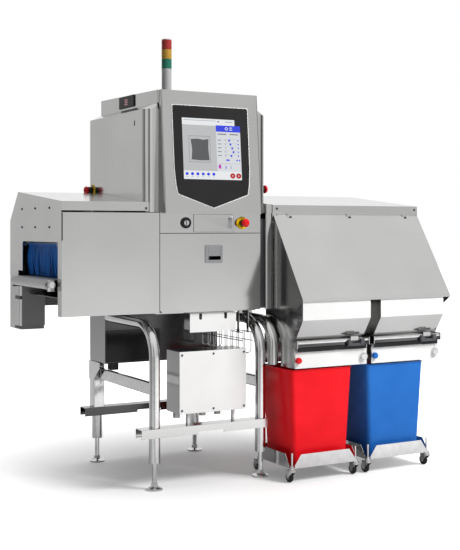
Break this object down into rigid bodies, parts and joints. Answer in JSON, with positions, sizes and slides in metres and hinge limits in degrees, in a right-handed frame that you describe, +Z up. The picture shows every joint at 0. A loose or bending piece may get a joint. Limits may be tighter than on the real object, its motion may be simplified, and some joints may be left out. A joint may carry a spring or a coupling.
{
  "type": "x-ray inspection machine",
  "caption": "Conveyor x-ray inspection machine with a screen head, a signal tower and a reject hood over two waste trolleys.",
  "frame": {"origin": "on the floor, under the middle of the machine's bounding box", "axes": "+X along the belt from infeed to outfeed, +Y from the operator's side to the back, +Z up"},
  "size_m": [2.0123, 0.994, 2.119],
  "materials": {
    "brushed_stainless": "fine brushed stainless sheet",
    "polished_stainless": "polished stainless tube",
    "grey_paint": "grey enamel",
    "white_plastic": "moulded",
    "belt_fabric": "smooth coated belt",
    "blue_curtain": "blue flexible strip",
    "latch_grey": "satin grey",
    "yellow_plastic": "moulded",
    "lock_chrome": "polished",
    "black_panel": "printed film over glass",
    "tower_grey": "moulded",
    "red_button": "moulded",
    "red_bin": "moulded polyethylene",
    "blue_bin": "moulded polyethylene",
    "fork_zinc": "bright zinc",
    "wheel_rubber": "moulded rubber"
  },
  "bodies": {
    "frame": {"floor_rails": "brushed_stainless", "legs": "polished_stainless", "levelling_feet": "polished_stainless", "rear_cabinet": "brushed_stainless", "xray_tunnel": "brushed_stainless", "infeed_body": "brushed_stainless", "infeed_cover": "brushed_stainless", "reject_cover": "brushed_stainless", "centre_body": "brushed_stainless", "head_body": "brushed_stainless", "head_cap": "brushed_stainless", "head_bezel": "brushed_stainless", "hanger_plate": "brushed_stainless", "control_box": "brushed_stainless", "cable_tray": "polished_stainless", "reject_body": "brushed_stainless", "reject_chutes": "brushed_stainless", "conveyor_bed": "brushed_stainless", "drive_motor": "grey_paint", "xray_units": "grey_paint", "conveyor_belt": "belt_fabric", "switch_bases": "yellow_plastic", "displays": "black_panel", "signal_tower": "tower_grey"},
    "infeed_door": {"infeed_door": "brushed_stainless"},
    "door_latch": {"door_latch": "latch_grey"},
    "port_flap": {"port_flap": "brushed_stainless"},
    "key_switch": {"key_switch": "lock_chrome"},
    "estop_front": {"estop_front": "red_button"},
    "estop_left": {"estop_left": "red_button"},
    "estop_right": {"estop_right": "red_button"},
    "reject_hood": {"reject_hood": "brushed_stainless"},
    "gate_red": {"gate_red": "brushed_stainless"},
    "gate_blue": {"gate_blue": "brushed_stainless"},
    "infeed_curtain": {"infeed_curtain": "blue_curtain"},
    "infeed_roller": {"infeed_roller": "polished_stainless"},
    "outfeed_roller": {"outfeed_roller": "polished_stainless"},
    "diverter_red": {"diverter_red": "white_plastic"},
    "diverter_blue": {"diverter_blue": "white_plastic"},
    "centre_door": {"centre_door": "brushed_stainless"},
    "trolley_red": {"trolley_red": "polished_stainless", "bin_red": "red_bin"},
    "trolley_blue": {"trolley_blue": "polished_stainless", "bin_blue": "blue_bin"},
    "fork_red_front_left": {"fork_red_front_left": "fork_zinc"},
    "wheel_red_front_left": {"wheel_red_front_left": "wheel_rubber"},
    "fork_red_front_right": {"fork_red_front_right": "fork_zinc"},
    "wheel_red_front_right": {"wheel_red_front_right": "wheel_rubber"},
    "fork_red_rear_left": {"fork_red_rear_left": "fork_zinc"},
    "wheel_red_rear_left": {"wheel_red_rear_left": "wheel_rubber"},
    "fork_red_rear_right": {"fork_red_rear_right": "fork_zinc"},
    "wheel_red_rear_right": {"wheel_red_rear_right": "wheel_rubber"},
    "fork_blue_front_left": {"fork_blue_front_left": "fork_zinc"},
    "wheel_blue_front_left": {"wheel_blue_front_left": "wheel_rubber"},
    "fork_blue_front_right": {"fork_blue_front_right": "fork_zinc"},
    "wheel_blue_front_right": {"wheel_blue_front_right": "wheel_rubber"},
    "fork_blue_rear_left": {"fork_blue_rear_left": "fork_zinc"},
    "wheel_blue_rear_left": {"wheel_blue_rear_left": "wheel_rubber"},
    "fork_blue_rear_right": {"fork_blue_rear_right": "fork_zinc"},
    "wheel_blue_rear_right": {"wheel_blue_rear_right": "wheel_rubber"}
  },
  "joints": [
    {"name": "infeed_door_hinge", "type": "hinge", "parent": "frame", "child": "infeed_door", "pos_m": [-0.72285, -0.221, 0.814], "axis": [1, 0, 0], "range_deg": [0, 90]},
    {"name": "centre_door_hinge", "type": "hinge", "parent": "frame", "child": "centre_door", "pos_m": [-0.2166, -0.221, 0.814], "axis": [1, 0, 0], "range_deg": [0, 90]},
    {"name": "latch_pivot", "type": "hinge", "parent": "centre_door", "child": "door_latch", "pos_m": [-0.20435, -0.2366, 1.107], "axis": [-1, 0, 0], "range_deg": [0, 40]},
    {"name": "port_flap_hinge", "type": "hinge", "parent": "frame", "child": "port_flap", "pos_m": [-0.30585, -0.2325, 1.218], "axis": [0, 0, -1], "range_deg": [0, 95]},
    {"name": "key_turn", "type": "hinge", "parent": "frame", "child": "key_switch", "pos_m": [-0.35185, -0.241, 1.22], "axis": [0, -1, 0], "range_deg": [0, 90]},
    {"name": "estop_front_press", "type": "slide", "parent": "frame", "child": "estop_front", "axis": [0, 1, 0], "range_m": [0, 0.005], "stiffness_N_per_m": 1500},
    {"name": "estop_left_press", "type": "slide", "parent": "frame", "child": "estop_left", "axis": [1, 0, 0], "range_m": [0, 0.005], "stiffness_N_per_m": 1500},
    {"name": "estop_right_press", "type": "slide", "parent": "frame", "child": "estop_right", "axis": [-1, 0, 0], "range_m": [0, 0.005], "stiffness_N_per_m": 1500},
    {"name": "hood_hinge", "type": "hinge", "parent": "frame", "child": "reject_hood", "pos_m": [0.56515, -0.234, 1.259], "axis": [-1, 0, 0], "range_deg": [0, 70]},
    {"name": "gate_red_hinge", "type": "hinge", "parent": "frame", "child": "gate_red", "pos_m": [0.33215, -0.4245, 0.6045], "axis": [-1, 0, 0], "range_deg": [0, 90]},
    {"name": "gate_blue_hinge", "type": "hinge", "parent": "frame", "child": "gate_blue", "pos_m": [0.77515, -0.4245, 0.6045], "axis": [-1, 0, 0], "range_deg": [0, 90]},
    {"name": "curtain_swing", "type": "hinge", "parent": "frame", "child": "infeed_curtain", "pos_m": [-0.92985, 0.061, 1.126], "axis": [0, -1, 0], "range_deg": [-30, 80]},
    {"name": "infeed_roller_spin", "type": "hinge", "parent": "frame", "child": "infeed_roller", "pos_m": [-0.98385, 0.092, 0.9447], "axis": [0, 1, 0], "continuous": true},
    {"name": "outfeed_roller_spin", "type": "hinge", "parent": "frame", "child": "outfeed_roller", "pos_m": [0.97815, 0.092, 0.9447], "axis": [0, 1, 0], "continuous": true},
    {"name": "diverter_red_swing", "type": "hinge", "parent": "frame", "child": "diverter_red", "pos_m": [0.18615, 0.365, 1.022], "axis": [0, 0, -1], "range_deg": [0, 45]},
    {"name": "diverter_blue_swing", "type": "hinge", "parent": "frame", "child": "diverter_blue", "pos_m": [0.63015, 0.365, 1.022], "axis": [0, 0, -1], "range_deg": [0, 45]},
    {"name": "trolley_red_pull", "type": "slide", "parent": "frame", "child": "trolley_red", "axis": [0, -1, 0], "range_m": [0, 0.6]},
    {"name": "swivel_red_front_left", "type": "hinge", "parent": "trolley_red", "child": "fork_red_front_left", "pos_m": [0.10615, -0.433, 0.06], "axis": [0, 0, 1], "continuous": true},
    {"name": "wheel_spin_red_front_left", "type": "hinge", "parent": "fork_red_front_left", "child": "wheel_red_front_left", "pos_m": [0.10615, -0.411, 0.025], "axis": [1, 0, 0], "continuous": true},
    {"name": "swivel_red_front_right", "type": "hinge", "parent": "trolley_red", "child": "fork_red_front_right", "pos_m": [0.46815, -0.433, 0.06], "axis": [0, 0, 1], "continuous": true},
    {"name": "wheel_spin_red_front_right", "type": "hinge", "parent": "fork_red_front_right", "child": "wheel_red_front_right", "pos_m": [0.46815, -0.411, 0.025], "axis": [1, 0, 0], "continuous": true},
    {"name": "swivel_red_rear_left", "type": "hinge", "parent": "trolley_red", "child": "fork_red_rear_left", "pos_m": [0.10615, -0.133, 0.06], "axis": [0, 0, 1], "continuous": true},
    {"name": "wheel_spin_red_rear_left", "type": "hinge", "parent": "fork_red_rear_left", "child": "wheel_red_rear_left", "pos_m": [0.10615, -0.111, 0.025], "axis": [1, 0, 0], "continuous": true},
    {"name": "swivel_red_rear_right", "type": "hinge", "parent": "trolley_red", "child": "fork_red_rear_right", "pos_m": [0.46815, -0.133, 0.06], "axis": [0, 0, 1], "continuous": true},
    {"name": "wheel_spin_red_rear_right", "type": "hinge", "parent": "fork_red_rear_right", "child": "wheel_red_rear_right", "pos_m": [0.46815, -0.111, 0.025], "axis": [1, 0, 0], "continuous": true},
    {"name": "trolley_blue_pull", "type": "slide", "parent": "frame", "child": "trolley_blue", "axis": [0, -1, 0], "range_m": [0, 0.6]},
    {"name": "swivel_blue_front_left", "type": "hinge", "parent": "trolley_blue", "child": "fork_blue_front_left", "pos_m": [0.54315, -0.433, 0.06], "axis": [0, 0, 1], "continuous": true},
    {"name": "wheel_spin_blue_front_left", "type": "hinge", "parent": "fork_blue_front_left", "child": "wheel_blue_front_left", "pos_m": [0.54315, -0.411, 0.025], "axis": [1, 0, 0], "continuous": true},
    {"name": "swivel_blue_front_right", "type": "hinge", "parent": "trolley_blue", "child": "fork_blue_front_right", "pos_m": [0.90515, -0.433, 0.06], "axis": [0, 0, 1], "continuous": true},
    {"name": "wheel_spin_blue_front_right", "type": "hinge", "parent": "fork_blue_front_right", "child": "wheel_blue_front_right", "pos_m": [0.90515, -0.411, 0.025], "axis": [1, 0, 0], "continuous": true},
    {"name": "swivel_blue_rear_left", "type": "hinge", "parent": "trolley_blue", "child": "fork_blue_rear_left", "pos_m": [0.54315, -0.133, 0.06], "axis": [0, 0, 1], "continuous": true},
    {"name": "wheel_spin_blue_rear_left", "type": "hinge", "parent": "fork_blue_rear_left", "child": "wheel_blue_rear_left", "pos_m": [0.54315, -0.111, 0.025], "axis": [1, 0, 0], "continuous": true},
    {"name": "swivel_blue_rear_right", "type": "hinge", "parent": "trolley_blue", "child": "fork_blue_rear_right", "pos_m": [0.90515, -0.133, 0.06], "axis": [0, 0, 1], "continuous": true},
    {"name": "wheel_spin_blue_rear_right", "type": "hinge", "parent": "fork_blue_rear_right", "child": "wheel_blue_rear_right", "pos_m": [0.90515, -0.111, 0.025], "axis": [1, 0, 0], "continuous": true}
  ],
  "couplings": [
    {"joint": "outfeed_roller_spin", "follows": "infeed_roller_spin", "ratio": 1}
  ]
}
